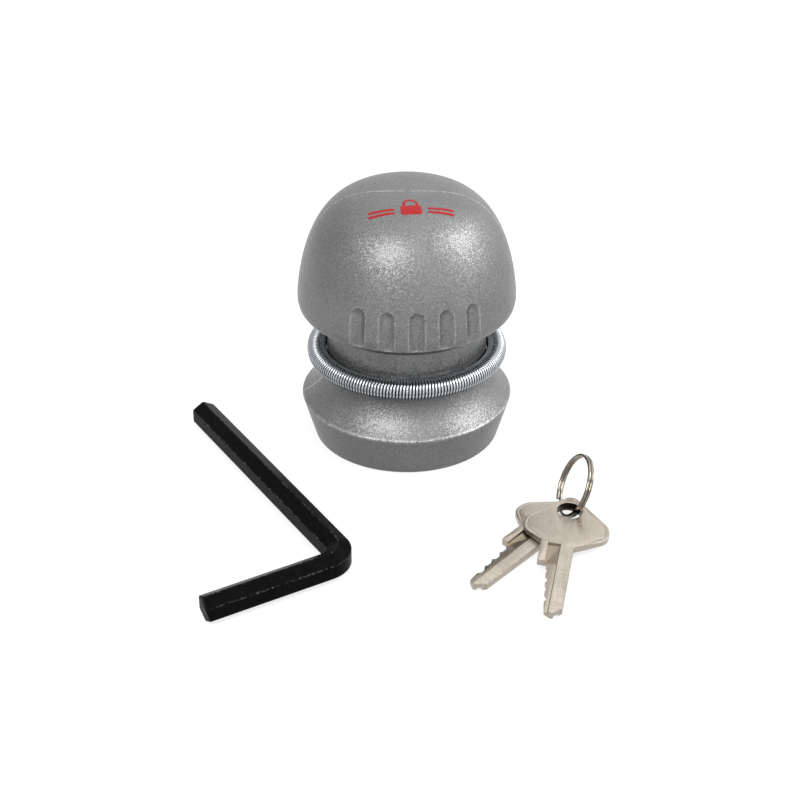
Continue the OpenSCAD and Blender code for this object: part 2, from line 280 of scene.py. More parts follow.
def swept(path, section, closed=False, up=None):
    """A tube: the section's [side, rise] points carried along the path. up is its rise direction."""
    path = np.asarray(path, float)
    if closed:
        run = np.roll(path, -1, 0) - np.roll(path, 1, 0)
    else:
        run = np.gradient(path, axis=0)
    run /= np.linalg.norm(run, axis=1, keepdims=True)
    rise = np.broadcast_to(np.asarray(up, float), path.shape)
    rise = rise - np.sum(rise * run, axis=1, keepdims=True) * run
    rise = rise / np.linalg.norm(rise, axis=1, keepdims=True)
    side = np.cross(run, rise)
    section = np.broadcast_to(section, (len(path),) + np.shape(section)[-2:])
    points = (path[:, None] + side[:, None] * section[..., :1] + rise[:, None] * section[..., 1:])
    rows, cols = points.shape[:2]
    faces = grid_faces(rows, cols, wrap_rows=closed)
    if not closed:
        faces += [list(range(cols))[::-1], [(rows - 1) * cols + k for k in range(cols)]]
    return points.reshape(-1, 3), faces


def angle_list(fine_bands, fine, coarse, extra=()):
    """Angles in degrees round a whole turn, closer together inside the bands."""
    angles, a = [], 0.0
    while a < 360:
        angles.append(a)
        inside = any((a - low) % 360 <= (high - low) for low, high in fine_bands)
        a += fine if inside else coarse
    merged = sorted(set(round(x % 360, 3) for x in [*angles, *extra]))
    return np.radians([x for k, x in enumerate(merged) if k == 0 or x - merged[k - 1] > 0.04])


# ---------------------------------------------------------------- materials

class Look:
    """A material whose nodes are added one after another."""

    def __init__(self, name, **shader):
        self.material = bpy.data.materials.new(name)
        self.material.use_nodes = True
        self.tree = self.material.node_tree
        self.shader = self.tree.nodes["Principled BSDF"]
        self.set(self.shader, shader)

    def set(self, node, inputs):
        for key, value in inputs.items():
            socket = node.inputs[key.replace("_", " ")] if isinstance(key, str) else node.inputs[key]
            if isinstance(value, bpy.types.NodeSocket):
                self.tree.links.new(value, socket)
            else:
                socket.default_value = (*value, 1) if socket.type == "RGBA" and len(value) == 3 else value
        return node

    def add(self, kind, inputs=(), **settings):
        node = self.tree.nodes.new("ShaderNode" + kind)
        for key, value in settings.items():
            setattr(node, key, value)
        return self.set(node, dict(inputs))

    def place(self, scale=(1, 1, 1), turn=(0, 0, 0)):
        """Places on the piece in metres, turned and stretched."""
        spot = self.add("TexCoord").outputs["Object"]
        if scale == (1, 1, 1) and turn == (0, 0, 0):
            return spot
        turned_spot = self.add("Mapping", {"Vector": spot, "Rotation": [math.radians(t) for t in turn]})
        return self.add("Mapping", {"Vector": turned_spot.outputs[0], "Scale": scale}).outputs[0]

    def noise(self, size, detail=3.0, rough=0.55, at=None, distort=0.0):
        """Soft noise with features of that size in millimetres."""
        inputs = {"Scale": 1 / (size * MM), "Detail": detail, "Roughness": rough, "Distortion": distort}
        inputs["Vector"] = at or self.place()
        return self.add("TexNoise", inputs).outputs["Fac"]

    def ramp(self, value, stops):
        """A colour or a grey level by value, from (position, colour) stops."""
        node = self.add("ValToRGB", {"Fac": value})
        elements = node.color_ramp.elements
        while len(elements) < len(stops):
            elements.new(0.5)
        for element, (position, colour) in zip(elements, stops):
            element.position = position
            colour = (colour,) * 3 if isinstance(colour, (int, float)) else colour
            element.color = (*colour, 1)
        return node.outputs["Color"]

    def span(self, value, low, high, to_low=0.0, to_high=1.0):
        inputs = {"Value": value, "From Min": low, "From Max": high, "To Min": to_low, "To Max": to_high}
        return self.add("MapRange", inputs).outputs["Result"]

    def math(self, operation, a, b=0.0):
        node = self.add("Math", operation=operation)
        self.set(node, {0: a, 1: b})
        return node.outputs[0]

    def mix(self, share, a, b, kind="MIX"):
        node = self.add("Mix", data_type="RGBA", blend_type=kind)
        self.set(node, {0: share, 6: a, 7: b})
        return node.outputs[2]

    def mark(self, name):
        return self.add("Attribute", attribute_name=name).outputs["Fac"]

    def bump(self, height, depth, strength=1.0, onto=None):
        """Bump of that depth in millimetres."""
        inputs = {"Height": height, "Distance": depth * MM, "Strength": strength}
        if onto is not None:
            inputs["Normal"] = onto
        return self.add("Bump", inputs).outputs["Normal"]

    def facets(self, size, tilt):
        """Normals of small crystals of that size, each tilted its own way, which makes metal sparkle."""
        cells = self.add("TexVoronoi", {"Scale": 1 / (size * MM), "Vector": self.place()})
        lean = self.add("VectorMath", {0: cells.outputs["Color"], 1: (0.5, 0.5, 0.5)}, operation="SUBTRACT")
        lean = self.add("VectorMath", {0: lean.outputs[0], 3: tilt}, operation="SCALE")
        normal = self.add("NewGeometry").outputs["Normal"]
        tilted = self.add("VectorMath", {0: normal, 1: lean.outputs[0]}, operation="ADD")
        return self.add("VectorMath", {0: tilted.outputs[0]}, operation="NORMALIZE").outputs[0]

    def strip(self, start, end, width, z_low, z_high):
        """1 on a thin line from start to end, seen from above, between two heights in millimetres."""
        start, end = Vector((*start, 0)) * MM, Vector((*end, 0)) * MM
        along, length = (end - start).normalized(), (end - start).length
        spot = self.place()
        near = self.add("VectorMath", {0: spot, 1: start}, operation="SUBTRACT").outputs[0]
        far = self.add("VectorMath", {0: near, 1: along}, operation="DOT_PRODUCT").outputs["Value"]
        side = Vector((-along.y, along.x, 0))
        away = self.add("VectorMath", {0: near, 1: side}, operation="DOT_PRODUCT").outputs["Value"]
        height = self.add("SeparateXYZ", {0: spot}).outputs["Z"]
        mask = self.span(self.math("ABSOLUTE", away), 0.3 * width * MM, width * MM, 1, 0)
        for value, low, high in ((far, 0, length), (height, z_low * MM, z_high * MM)):
            mask = self.math("MULTIPLY", mask, self.math("GREATER_THAN", value, low))
            mask = self.math("MULTIPLY", mask, self.math("LESS_THAN", value, high))
        return mask

    def within(self, value, low, high, soft):
        """1 where the value is between low and high, with soft edges."""
        up = self.span(value, low - soft, low + soft)
        return self.math("MULTIPLY", up, self.span(value, high - soft, high + soft, 1, 0))

    def done(self, **inputs):
        self.set(self.shader, inputs)
        return self.material


def cast_alloy():
    """Tumbled aluminium casting: grey, grainy, with small crystals that sparkle in the highlights. Paler
    with wear and painted highlights, darker with painted shade.
    """
    look = Look("cast_alloy", Metallic=0.9)
    grain = look.noise(0.36, detail=4.0, rough=0.7)
    patches = look.noise(7.0, detail=3.0)
    stops = [(0.34, (0.090, 0.092, 0.096)), (0.5, (0.152, 0.154, 0.157)), (0.68, (0.235, 0.235, 0.234))]
    body = look.ramp(grain, stops)
    body = look.mix(0.3, body, look.ramp(patches, [(0.3, 0.125), (0.7, 0.185)]))
    broken = look.span(look.noise(0.9, detail=4.0, rough=0.75), 0.40, 0.56)
    scratch = look.strip(SCRATCH_FROM, SCRATCH_TO, 0.16, RIM_Z, NECK_TOP / 2)
    scratch = look.math("MULTIPLY", scratch, 0.65)
    # paler: wear, the scratch, and painted highlights along the base's rim and the cap's flute edges
    worn = look.math("MAXIMUM", look.math("MULTIPLY", look.mark("wear_and_painted_highlight"), broken), scratch)
    # painted shade: near black under the garter spring and on the foot cone
    body = look.mix(look.math("MULTIPLY", look.mark("painted_shade"), 0.75), body, (0.02, 0.02, 0.021))
    body = look.mix(worn, body, (0.60, 0.60, 0.60))
    rough = look.span(grain, 0.3, 0.7, 0.36, 0.47)
    fine = look.noise(0.28, detail=2.0)
    sparkle = look.facets(0.22, 0.26)
    pitted = look.bump(look.noise(1.3, detail=4.0), 0.05, onto=sparkle)
    return look.done(Base_Color=body, Roughness=rough, Normal=look.bump(fine, 0.02, onto=pitted))


def zinc_spring():
    """Bright zinc plate on drawn wire, a little blue, with painted shade near black on the wire's sides
    where the coils touch.
    """
    look = Look("zinc_spring", Metallic=1.0)
    dull = look.noise(3.0, detail=4.0)
    colour = look.ramp(dull, [(0.3, (0.38, 0.405, 0.43)), (0.7, (0.52, 0.545, 0.57))])
    # painted shade between the coils
    colour = look.mix(look.span(look.mark("between"), 0.15, 0.85, 0, 0.96), colour, (0.02, 0.022, 0.024))
    rough = look.span(dull, 0.3, 0.7, 0.12, 0.22)
    drawn = look.noise(0.15, detail=2.0)
    return look.done(Base_Color=colour, Roughness=rough, Normal=look.bump(drawn, 0.006))


def turned_steel(name, dark, bright, rough_low, rough_high, ring_size=0.35):
    """Machined steel, with the fine rings that a lathe tool leaves."""
    look = Look(name, Metallic=1.0)
    rings = look.noise(ring_size, detail=2.0, at=look.place(scale=(0.05, 0.05, 1)))
    stain = look.noise(4.0, detail=4.0)
    colour = look.ramp(stain, [(0.3, dark), (0.7, bright)])
    rough = look.span(stain, 0.3, 0.7, rough_low, rough_high)
    return look.done(Base_Color=colour, Roughness=rough, Normal=look.bump(rings, 0.01))


def black_oxide():
    """Black oxide on hexagon bar: satin, mottled, worn to grey along the edges, with a few scratches."""
    look = Look("black_oxide", Metallic=0.0, Specular_IOR_Level=0.022)
    mottle = look.noise(1.6, detail=6.0, rough=0.7)
    stops = [(0.3, (0.001, 0.001, 0.0011)), (0.6, (0.002, 0.002, 0.0021)), (0.8, (0.0055, 0.0053, 0.005))]
    colour = look.ramp(mottle, stops)
    broken = look.noise(0.9, detail=5.0, rough=0.75)
    edge = look.math("MULTIPLY", look.mark("edge"), look.span(broken, 0.50, 0.66))
    long_way = look.place(turn=(0, 0, -HEX_YAW), scale=(0.16, 1, 1))
    line = look.noise(0.55, detail=2.0, rough=0.4, at=long_way)
    scratch = look.span(look.math("ABSOLUTE", look.math("SUBTRACT", line, 0.5)), 0.0, 0.0035, 1.0, 0.0)
    where = look.math("MULTIPLY", scratch, look.span(look.noise(11.0, detail=2.0), 0.52, 0.66))
    bare = look.math("MAXIMUM", edge, look.math("MULTIPLY", where, 0.55))
    colour = look.mix(bare, colour, (0.055, 0.053, 0.050))
    rough = look.span(mottle, 0.3, 0.75, 0.24, 0.36)
    pits = look.bump(look.noise(0.5, detail=4.0), 0.03)
    return look.done(Base_Color=colour, Roughness=rough, Normal=look.bump(scratch, 0.01, onto=pits))


def nickel_wire():
    """Bright nickel plate on spring wire, a little warm."""
    look = Look("nickel_wire", Metallic=1.0)
    cloud = look.noise(2.6, detail=5.0, rough=0.6)
    colour = look.ramp(cloud, [(0.3, (0.13, 0.11, 0.09)), (0.7, (0.30, 0.27, 0.23))])
    rough = look.span(cloud, 0.3, 0.7, 0.10, 0.22)
    drawn = look.noise(0.22, detail=3.0)
    return look.done(Base_Color=colour, Roughness=rough, Normal=look.bump(drawn, 0.006))


def nickel_key():
    """Satin nickel plate: brushed along the key and milled across the blade, with painted shade: brown and
    dark in the groove and its corner, dark along the step of the bow's border and in the hole.
    """
    look = Look("nickel_key", Metallic=1.0)
    spot = look.add("Attribute", attribute_name="key_spot").outputs["Vector"]
    parts = look.add("SeparateXYZ", {0: spot}).outputs
    cloud = look.noise(2.2, detail=5.0, rough=0.6)
    along = look.add("Mapping", {"Vector": spot, "Scale": (1, 0.1, 1)}).outputs[0]
    across = look.add("Mapping", {"Vector": spot, "Scale": (0.12, 1, 1)}).outputs[0]
    brushed = look.add("TexNoise", {"Scale": 4.0, "Detail": 3.0, "Vector": along}).outputs["Fac"]
    milled = look.add("TexNoise", {"Scale": 1.7, "Detail": 1.0, "Vector": across}).outputs["Fac"]
    blade = look.within(parts["Y"], -40, -19.5, 1.0)
    blade = look.math("MULTIPLY", blade, look.within(parts["X"], GROOVE_RIGHT + 0.1, 4, 0.1))
    # painted shade in the groove: its floor browner, darker still at its upper end by the shoulder, and a
    # dark line in its corner
    floor_z = KEY_T - GROOVE_DEPTH
    groove = look.within(parts["Z"], floor_z - 0.04, floor_z + 0.06, 0.02)
    groove = look.math("MULTIPLY", groove, look.within(parts["X"], GROOVE_LEFT, GROOVE_RIGHT + 0.02, 0.02))
    deep = look.math("MULTIPLY", groove, look.within(parts["Y"], KEY_SHOULDER - 0.3, 0, 0.5))
    corner = look.within(parts["X"], GROOVE_RIGHT - 0.2, GROOVE_RIGHT + 0.1, 0.04)
    corner = look.math("MULTIPLY", groove, corner)
    colour = look.ramp(cloud, [(0.3, (0.32, 0.282, 0.235)), (0.7, (0.41, 0.37, 0.32))])
    streaks = look.ramp(brushed, [(0.35, (0.32, 0.285, 0.24)), (0.65, (0.40, 0.36, 0.31))])
    colour = look.mix(0.5, colour, streaks)
    marks = look.math("MULTIPLY", blade, look.span(milled, 0.5, 0.62, 0, 0.30))
    colour = look.mix(marks, colour, (0.20, 0.18, 0.155))
    colour = look.mix(look.math("MULTIPLY", groove, 0.35), colour, (0.30, 0.25, 0.19))
    colour = look.mix(look.math("MULTIPLY", deep, 0.75), colour, (0.16, 0.125, 0.09))
    # painted shade along the step of the coined border round the bow
    line = look.math("MULTIPLY", look.mark("line"), 0.7)
    dark = look.math("MAXIMUM", look.math("MULTIPLY", corner, 0.8), line)
    # painted shadow on the wall and rim of the hole
    squares = [look.math("MULTIPLY", parts[axis], parts[axis]) for axis in "XY"]
    from_hole = look.math("SQRT", look.math("ADD", *squares))
    dark = look.math("MAXIMUM", dark, look.within(from_hole, BOW_HOLE_R / 2, BOW_HOLE_R + 0.08, 0.03))
    colour = look.mix(dark, colour, (0.05, 0.045, 0.04))
    rough = look.span(cloud, 0.3, 0.7, 0.24, 0.36)
    ridges = look.bump(look.math("MULTIPLY", milled, blade), 0.03)
    return look.done(Base_Color=colour, Roughness=rough, Normal=look.bump(brushed, 0.004, onto=ridges))


def rubber():
    """Matt seal rubber with a dusting of grease."""
    look = Look("seal_rubber")
    film = look.noise(1.2, detail=4.0)
    colour = look.ramp(film, [(0.3, 0.012), (0.8, 0.035)])
    rough = look.span(film, 0.3, 0.7, 0.45, 0.75)
    return look.done(Base_Color=colour, Roughness=rough, Normal=look.bump(look.noise(0.3), 0.01))


def red_print():
    """Red pad print, thin enough to show the grain of the casting."""
    look = Look("red_print", Metallic=0.0, Specular_IOR_Level=0.12)
    thin = look.noise(0.35, detail=4.0, rough=0.7)
    stops = [(0.30, (0.12, 0.010, 0.010)), (0.5, (0.23, 0.007, 0.008)), (0.8, (0.27, 0.010, 0.010))]
    colour = look.ramp(thin, stops)
    return look.done(Base_Color=colour, Roughness=0.42, Normal=look.bump(thin, 0.02))


LOOKS = {
    "cast_alloy": cast_alloy(),
    "zinc_spring": zinc_spring(),
    "steel": turned_steel("steel", (0.40, 0.41, 0.42), (0.62, 0.63, 0.64), 0.22, 0.38),
    "dark_steel": turned_steel("dark_steel", (0.045, 0.045, 0.05), (0.09, 0.09, 0.10), 0.34, 0.50),
    "black_oxide": black_oxide(),
    "nickel_key": nickel_key(),
    "nickel_wire": nickel_wire(),
    "brass": turned_steel("brass", (0.52, 0.37, 0.13), (0.78, 0.60, 0.27), 0.22, 0.36),
    "seal_rubber": rubber(),
    "red_print": red_print(),
}


# ---------------------------------------------------------------- castings

def dome_line():
    """[radius, height] points up the outside of the dome, evenly spaced."""
    a = np.linspace(0, np.pi / 2, 4000)
    r = BALL_R * np.cos(a) ** SIDE_POWER
    z = BALL_Z + DOME_H * np.sin(a) ** CROWN_POWER
    r[-1] = 0
    far = np.concatenate([[0], np.cumsum(np.hypot(np.diff(r), np.diff(z)))])
    fluted = np.interp(46.5, z, far)
    stations = np.concatenate([np.linspace(0, fluted, 42), np.linspace(fluted, far[-1], 44)[1:]])
    return np.column_stack([np.interp(stations, far, r), np.interp(stations, far, z)])


def ball_cap():
    """The cap: dome with flutes and a casting seam, and the bore, roof and boss inside it."""
    under = rounded([
        (0, INSERT_TOP + 1.1, 0), (5.3, INSERT_TOP + 1.1, 0), (5.3, INSERT_TOP, 0),
        (INSERT_R, INSERT_TOP, 0), (INSERT_R, BOSS_Z, 0.2), (BOSS_R, BOSS_Z, 0.4),
        (BOSS_R, CAP_ROOF_Z, 0.8), (CAP_BORE_R, CAP_ROOF_Z, 1.2), (CAP_BORE_R, SKIRT_Z, 0.2),
        (CAP_BORE_R + 0.8, SKIRT_Z, 0.3), (BALL_R - 1.45, CAP_EDGE_Z, 0.35),
        (BALL_R - 0.75, CAP_EDGE_Z, 0.45), (BALL_R - 0.28, CAP_EDGE_Z + 0.75, 0.7), (BALL_R, BALL_Z, 0),
    ], closed=False)
    outside = len(densified(under, 0.6)) - 14
    line = np.vstack([densified(under, 0.6)[:-1], dome_line()])
    line[:, 0] = np.minimum(line[:, 0], BALL_R)
    flutes = [side + (k - (FLUTE_COUNT - 1) / 2) * FLUTE_STEP + CAP_YAW
              for side in (-90, 90) for k in range(FLUTE_COUNT)]
    near_seam = [s + d for s in (0, 180) for d in (-0.8, -0.5, -0.3, -0.15, 0, 0.15, 0.3, 0.5, 0.8)]
    angles = angle_list([(f - 7, f + 7) for f in flutes], 0.3, 1.0, near_seam)
    radius = np.repeat(line[1:-1, :1], len(angles), axis=1)
    on_dome = (np.arange(len(line)) >= outside)[1:-1, None]
    shift = np.arcsin(np.minimum(SEAM_OFF / np.maximum(radius, 0.01), 0.9)) * on_dome
    angles = angles[None, :] - shift * np.cos(angles)[None, :]
    outer_rows = (np.arange(len(line)) >= outside - 8)[1:-1, None]
    above = np.maximum(line[1:-1, 1] - (FLUTE_TOP - FLUTE_HALF), 0)[:, None]
    below = (BALL_R - line[1:-1, :1]) * (line[1:-1, 1:] < BALL_Z)
    # painted highlight: paler along the edges of the flutes, where light catches them
    painted_flute_highlight = np.zeros(radius.shape)
    for flute in flutes:
        off = angles - math.radians(flute)
        away = np.hypot(BALL_R * np.sin(off), above) / FLUTE_HALF
        dip = -soft_min(0 * away, FLUTE_DEPTH * (away ** 2 - 1), 0.12) - below
        radius = np.where((np.cos(off) > 0) & outer_rows, radius - np.maximum(dip, 0), radius)
        painted_flute_highlight = np.maximum(painted_flute_highlight, np.exp(-((away - 1) / 0.1) ** 2) * (np.cos(off) > 0) * outer_rows)
    height = np.repeat(line[1:-1, 1:], angles.shape[1], axis=1)
    normal = line_normals(line)[1:-1]
    apart = np.abs(radius * np.sin(angles) + SEAM_OFF)
    ridge = SEAM_H * np.exp(-(apart / SEAM_HALF) ** 2) * on_dome
    radius = np.minimum(radius + ridge * normal[:, :1], BALL_R)
    height = height + ridge * normal[:, 1:]
    ring = turned(radius, height, angles)
    rows, cols = radius.shape
    points = np.vstack([ring, [[0, 0, line[0, 1]], [0, 0, line[-1, 1]]]])
    faces = grid_faces(rows, cols)
    faces += [[len(ring), (k + 1) % cols, k] for k in range(cols)]
    last = (rows - 1) * cols
    faces += [[len(ring) + 1, last + k, last + (k + 1) % cols] for k in range(cols)]
    worn = 0.7 * np.exp(-((points[:, 1] + SEAM_OFF) / 0.14) ** 2) * (points[:, 2] > BALL_Z)
    lip = np.exp(-((points[:, 2] - CAP_EDGE_Z - 0.2) / 0.3) ** 2)
    lip *= np.hypot(points[:, 0], points[:, 1]) > BALL_R - 2
    # the pale mark: wear along the casting seam and the cap's lower edge, and a painted highlight along the
    # flute edges
    edges = np.append(0.28 * painted_flute_highlight.ravel(), [0, 0])
    marks = {"wear_and_painted_highlight": np.maximum(np.maximum(worn, 0.35 * lip), edges)}
    cap = mesh_piece("cap_casting", points, faces, "cap", LOOKS["cast_alloy"],
                     ["ball_cap"], marks)
    pins = [cutter(circle(GUIDE_R, 48, (side * GUIDE_RING_R, 0)), CAP_ROOF_Z - 1, GUIDE_TOP)
            for side in (-1, 1)]
    return cut_with(cap, pins)


def lower_body():
    """The base: foot cone, rim, hollow ramp and neck, with the bores for the lock plug and the screw."""
    sweep = math.acos(1 - (RIM_R - NECK_R) / RAMP_R)
    ramp_z = RIM_Z + RAMP_R * math.sin(sweep)
    ramp = [(NECK_R + RAMP_R * (1 - math.cos(a)), ramp_z - RAMP_R * math.sin(a), 0)
            for a in np.linspace(sweep, 0, 48)]
    line = np.vstack([
        rounded([(PLUG_BORE_R, 3.0, 0), (PLUG_BORE_R, 0, 0.3), (FOOT_R, 0, 0.75),
                 (RIM_R - 0.12, RIM_Z - 0.4, 0.0)], closed=False)[:-1],
        rounded([(RIM_R - 0.55, RIM_Z - 1.85, 0), (RIM_R + 0.02, RIM_Z - 0.02, 0.14), ramp[2]],
                closed=False)[1:-1],
        [p[:2] for p in ramp[2:]],
        rounded([(NECK_R, ramp_z + 0.5, 0), (NECK_R, NECK_TOP, 0.8),
                 (SPRING_BORE_R, NECK_TOP, 0.3), (SPRING_BORE_R, SPRING_BORE_Z, 0.3),
                 (SHANK_BORE_R, SPRING_BORE_Z, 0), (SHANK_BORE_R, HEAD_BORE_TOP, 0),
                 (HEAD_BORE_R, HEAD_BORE_TOP, 0), (HEAD_BORE_R, RING_GROOVE_TOP, 0),
                 (RING_GROOVE_R, RING_GROOVE_TOP, 0), (RING_GROOVE_R, RING_GROOVE_LOW, 0),
                 (HEAD_BORE_R, RING_GROOVE_LOW, 0), (HEAD_BORE_R, PLUG_BORE_TOP, 0),
                 (PLUG_BORE_R, PLUG_BORE_TOP, 0), (PLUG_BORE_R, BOLT_GROOVE_TOP, 0),
                 (BOLT_GROOVE_R, BOLT_GROOVE_TOP, 0), (BOLT_GROOVE_R, BOLT_GROOVE_LOW, 0),
                 (PLUG_BORE_R, BOLT_GROOVE_LOW, 0), (PLUG_BORE_R, 4.0, 0)], closed=False),
    ])
    line = densified(line, 0.7, closed=True)
    line[:, 0] = np.minimum(line[:, 0], RIM_R)
    seat = (line[:, 0] > 15) & (line[:, 1] > 15) & (line[:, 1] < SEAT_TOP)
    line[seat, 0] = np.maximum(line[seat, 0], SEAT_R)
    angles = angle_list([], 0.75, 0.75)
    radius = np.repeat(line[:, :1], len(angles), axis=1)
    points = turned(radius, line[:, 1:], angles)
    faces = grid_faces(len(line), len(angles), wrap_rows=True)
    distance = np.hypot(np.hypot(points[:, 0], points[:, 1]) - RIM_R, points[:, 2] - RIM_Z)
    outer = np.hypot(points[:, 0], points[:, 1]) > NECK_R - 0.1
    # painted shade: darker on the ramp under the front of the garter spring, where its shadow falls, and on
    # the foot cone below the rim, which faces the floor
    painted_shade_under_garter = np.interp(points[:, 2], [12.8, 19.5], [0, 1]) * (points[:, 2] < NECK_TOP / 2)
    painted_shade_under_garter *= np.clip(-points[:, 1] / NECK_R, 0, 1) ** 1.5
    foot = 0.24 * (points[:, 2] < RIM_Z - 0.25)
    # the pale line round the rim's fillet is partly edge wear and partly a painted highlight
    marks = {"wear_and_painted_highlight": 0.4 * np.exp(-(distance / 0.24) ** 2), "painted_shade": outer * np.maximum(painted_shade_under_garter, foot)}
    base = mesh_piece("base_casting", points, faces, "base", LOOKS["cast_alloy"],
                      ["lower_body"], marks)
    slots = [cutter(circle(GUIDE_R + GUIDE_PLAY, 48, (side * GUIDE_RING_R, 0)), GUIDE_HOLE_Z, NECK_TOP + 1)
             for side in (-1, 1)]
    near, far, half = INDEX_SLOT
    slots.append(cutter([(near, -half), (far, -half), (far, half), (near, half)], -1, INDEX_SLOT_TOP))
    return cut_with(base, slots)


def printed_mark():
    """A plain padlock between two bars, printed on the front of the cap below the crown."""
    dome = dome_line()[::-1]
    travel = np.concatenate([[0], np.cumsum(np.hypot(*np.diff(dome, axis=0).T))])
    front = math.radians(CAP_YAW - 90)
    patches = []

    def patch(u, v):
        """A thin sheet on the dome over a grid of places, u to the right and v upwards."""
        rows, cols = u.shape
        across, along = u.ravel(), np.interp(MARK_DOWN - v.ravel(), travel, dome[:, 0])
        x = along * math.cos(front) - across * math.sin(front)
        y = along * math.sin(front) + across * math.cos(front)
        flat = np.column_stack([x, y, np.interp(np.hypot(x, y), dome[:, 0], dome[:, 1])])
        shell = np.vstack([flat + [0, 0, INK_OUT], flat - [0, 0, INK_IN]])
        n = rows * cols
        top = grid_faces(rows, cols, wrap_cols=False)
        rim = [i * cols for i in range(rows)] + [(rows - 1) * cols + j for j in range(1, cols)]
        rim += [i * cols + cols - 1 for i in range(rows - 2, -1, -1)] + list(range(cols - 2, 0, -1))
        sides = [[a, b, b + n, a + n] for a, b in zip(rim, rim[1:] + rim[:1])]
        patches.append((shell, top + [[k + n for k in f[::-1]] for f in top] + sides))

    def block(u0, u1, v0, v1, corner):
        """A rectangle with round corners."""
        v = np.linspace(v0, v1, 22)
        inset = np.maximum(corner - np.minimum(v - v0, v1 - v), 0)
        cut = corner - np.sqrt(np.maximum(corner ** 2 - inset ** 2, 0))
        t = np.linspace(0, 1, 24)[None, :]
        patch((u0 + cut)[:, None] * (1 - t) + (u1 - cut)[:, None] * t, np.repeat(v[:, None], 24, axis=1))

    block(-2.3, 2.3, -2.4, 1.0, 0.6)
    turn = np.linspace(0, math.pi, 30)[None, :]
    wide = np.linspace(1.15, 1.75, 4)[:, None]
    patch(wide * np.cos(turn), 1.6 + 1.25 * wide * np.sin(turn))
    for side in (-1, 1):
        ends = sorted((side * 1.15, side * 1.75))
        block(ends[0], ends[1], 0.95, 1.65, 0.02)
        ends = sorted((side * 3.6, side * 9.4))
        for v in (-1.9, -0.6):
            block(ends[0], ends[1], v, v + 0.75, 0.37)
    points, faces = [], []
    for shell, shell_faces in patches:
        start = sum(len(p) for p in points)
        points.append(shell)
        faces += [[k + start for k in f] for f in shell_faces]
    return mesh_piece("printed_mark", np.vstack(points), faces, "cap", LOOKS["red_print"])


# ---------------------------------------------------------------- springs

def garter_spring():
    """One closed, close-coiled spring of drawn wire, bent into a ring round the neck."""
    per_turn, sides = 26, 8
    count = GARTER_TURNS * per_turn
    s = np.arange(count) / count * 2 * np.pi
    twist = s * GARTER_TURNS
    coil_r = GARTER_TUBE_R - GARTER_WIRE_R
    ring_dir = np.column_stack([np.cos(s), np.sin(s), np.zeros(count)])
    spoke = ring_dir * np.cos(twist)[:, None] + np.array([0, 0, 1]) * np.sin(twist)[:, None]
    path = ring_dir * GARTER_R + spoke * coil_r + [0, 0, GARTER_Z]
    run = np.roll(path, -1, 0) - np.roll(path, 1, 0)
    run /= np.linalg.norm(run, axis=1, keepdims=True)
    side = np.cross(run, spoke)
    turn = np.linspace(0, 2 * np.pi, sides, endpoint=False)
    points = (path[:, None] + GARTER_WIRE_R * (spoke[:, None] * np.cos(turn)[None, :, None]
                                               + side[:, None] * np.sin(turn)[None, :, None]))
    faces = grid_faces(count, sides, wrap_rows=True)
    # painted shade: 1 on the sides of the wire, where the coils touch, 0 on its outside and inside
    between = np.tile(np.sin(turn) ** 2, count)
    return mesh_piece("garter_coil", points.reshape(-1, 3), faces, "garter", LOOKS["zinc_spring"],
                      ["garter_spring"], {"between": between})


def return_spring():
    """The compression spring under the cap's roof, with its end coils closed."""
    per_turn = 40
    s = np.linspace(0, 1, round(LIFT_TURNS * per_turn) + 1)
    closed_end = 0.75 / LIFT_TURNS
    rise = np.clip((s - closed_end) / (1 - 2 * closed_end), 0, 1)
    low, high = LIFT_LOW + LIFT_WIRE_R, LIFT_HIGH - LIFT_WIRE_R
    z = low + (high - low) * rise
    angle = 2 * np.pi * LIFT_TURNS * s
    path = np.column_stack([LIFT_R * np.cos(angle), LIFT_R * np.sin(angle), z])
    points, faces = swept(path, circle(LIFT_WIRE_R, 14), up=(0, 0, 1))
    coil = mesh_piece("return_coil", points, faces, "base", LOOKS["steel"], ["return_spring"])
    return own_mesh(coil)


# ---------------------------------------------------------------- hexagon key

def hex_key():
    """Hexagon bar bent at a right angle, with rounded edges and chamfered ends."""
    corner_r, chamfer = 0.14, 0.12
    hexagon = [(HEX_R * math.sin(math.radians(60 * k)), HEX_R * math.cos(math.radians(60 * k)), corner_r)
               for k in range(6)]
    section = densified(rounded(hexagon, steps=4), 0.22, closed=True)
    far = np.linalg.norm(section, axis=1)
    bend = [(HEX_BEND_R * (1 - math.sin(a)), HEX_BEND_R * (1 - math.cos(a)), 0)
            for a in np.linspace(0, math.pi / 2, 22)]
    arm_steps = [0, 0.06, 0.12, 0.35, 0.8]
    long_x = [LONG_ARM - d for d in arm_steps] + list(np.linspace(LONG_ARM - 3, HEX_BEND_R + 0.5, 40))
    short_y = list(np.linspace(HEX_BEND_R + 0.5, SHORT_ARM - 3, 20))
    short_y += [SHORT_ARM - d for d in arm_steps[::-1]]
    path = np.array([(x, 0, 0) for x in long_x] + bend + [(0, y, 0) for y in short_y])
    from_end = np.minimum(LONG_ARM - path[:, 0], SHORT_ARM - path[:, 1])
    reach = HEX_R - chamfer + from_end * 1.0
    scale = np.minimum(1, reach[:, None] / far[None, :])
    sections = section[None] * scale[..., None]
    points, faces = swept(path, sections, up=(0, 0, 1))
    edge = (far > far.min() + 0.8 * (far.max() - far.min())).astype(float)
    edge = np.broadcast_to(edge[None, :], scale.shape) * (scale > 0.999)
    return mesh_piece("hexagon_key", points, faces, "hex_key", LOOKS["black_oxide"],
                      ["hex_key"], {"edge": edge}, placed(HEX_PLACE, (0, 0, HEX_YAW)))


# ---------------------------------------------------------------- lock keys

